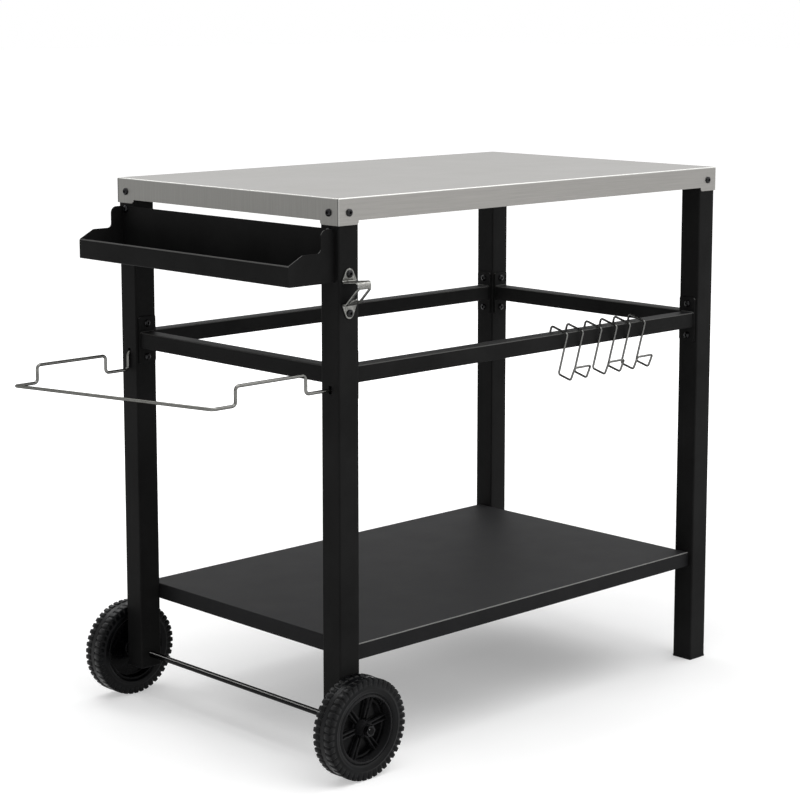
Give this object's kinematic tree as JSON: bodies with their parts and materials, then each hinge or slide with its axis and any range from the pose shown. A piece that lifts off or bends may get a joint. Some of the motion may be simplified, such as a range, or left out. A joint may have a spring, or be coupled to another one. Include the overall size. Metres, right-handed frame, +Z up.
{
  "type": "grill cart",
  "caption": "Wheeled patio grill cart with folded steel top, square-tube legs, lower shelf, side spice rack, wire bag holder, bottle opener, towel holder and sliding hooks.",
  "frame": {"origin": "on the floor, under the middle of the whole cart's box", "axes": "+Z up, +X along the table from the wheels to the feet, -Y towards the user at the hooks"},
  "size_m": [1.106, 0.5982, 0.838],
  "materials": {
    "stainless_top": "brushed",
    "black_powder_coat": "satin powder coat",
    "black_plastic": "moulded",
    "hub_plastic": "moulded, glossy",
    "tyre": "moulded",
    "bright_wire": "bright",
    "chrome_stamping": "polished",
    "dark_chrome_wire": "dark bright",
    "black_rod": "satin",
    "black_screw": "satin",
    "zinc_steel": "zinc plated"
  },
  "bodies": {
    "frame": {"axle": "black_rod", "axle_nuts": "zinc_steel", "axle_washers": "zinc_steel", "bottle_opener": "chrome_stamping", "foot_cap_front_right": "black_plastic", "foot_cap_rear_right": "black_plastic", "front_rail": "black_powder_coat", "left_end_rail": "black_powder_coat", "leg_front_left": "black_powder_coat", "leg_front_right": "black_powder_coat", "leg_plug_front_left": "black_plastic", "leg_plug_rear_left": "black_plastic", "leg_rear_left": "black_powder_coat", "leg_rear_right": "black_powder_coat", "leg_weld_nuts": "zinc_steel", "opener_screws": "black_screw", "rack_screws": "black_screw", "rail_screws": "black_screw", "rear_rail": "black_powder_coat", "right_end_rail": "black_powder_coat", "shelf": "black_powder_coat", "shelf_screws": "black_screw", "spice_rack": "black_powder_coat", "tabletop": "stainless_top", "tabletop_screws": "black_screw", "tabletop_stiffeners": "zinc_steel"},
    "front_wheel": {"front_hub": "hub_plastic", "front_tyre": "tyre"},
    "rear_wheel": {"rear_hub": "hub_plastic", "rear_tyre": "tyre"},
    "bag_holder": {"bag_holder": "bright_wire"},
    "towel_holder": {"towel_holder": "bright_wire"},
    "left_hook": {"left_hook": "dark_chrome_wire"},
    "middle_hook": {"middle_hook": "dark_chrome_wire"},
    "right_hook": {"right_hook": "dark_chrome_wire"}
  },
  "joints": [
    {"name": "front_wheel_spin", "type": "hinge", "parent": "frame", "child": "front_wheel", "pos_m": [-0.318, -0.2738, 0.075], "axis": [0, 1, 0], "continuous": true},
    {"name": "rear_wheel_spin", "type": "hinge", "parent": "frame", "child": "rear_wheel", "pos_m": [-0.318, 0.2738, 0.075], "axis": [0, 1, 0], "continuous": true},
    {"name": "bag_holder_lift", "type": "hinge", "parent": "frame", "child": "bag_holder", "pos_m": [-0.33625, 0, 0.565], "axis": [0, 1, 0], "range_deg": [0, 40]},
    {"name": "towel_holder_lift", "type": "hinge", "parent": "frame", "child": "towel_holder", "pos_m": [0.49775, 0, 0.5895], "axis": [0, -1, 0], "range_deg": [0, 40]},
    {"name": "left_hook_slide", "type": "slide", "parent": "frame", "child": "left_hook", "axis": [1, 0, 0], "range_m": [-0.43, 0.019]},
    {"name": "middle_hook_slide", "type": "slide", "parent": "frame", "child": "middle_hook", "axis": [1, 0, 0], "range_m": [-0.019, 0.013]},
    {"name": "right_hook_slide", "type": "slide", "parent": "frame", "child": "right_hook", "axis": [1, 0, 0], "range_m": [-0.013, 0.127]}
  ]
}
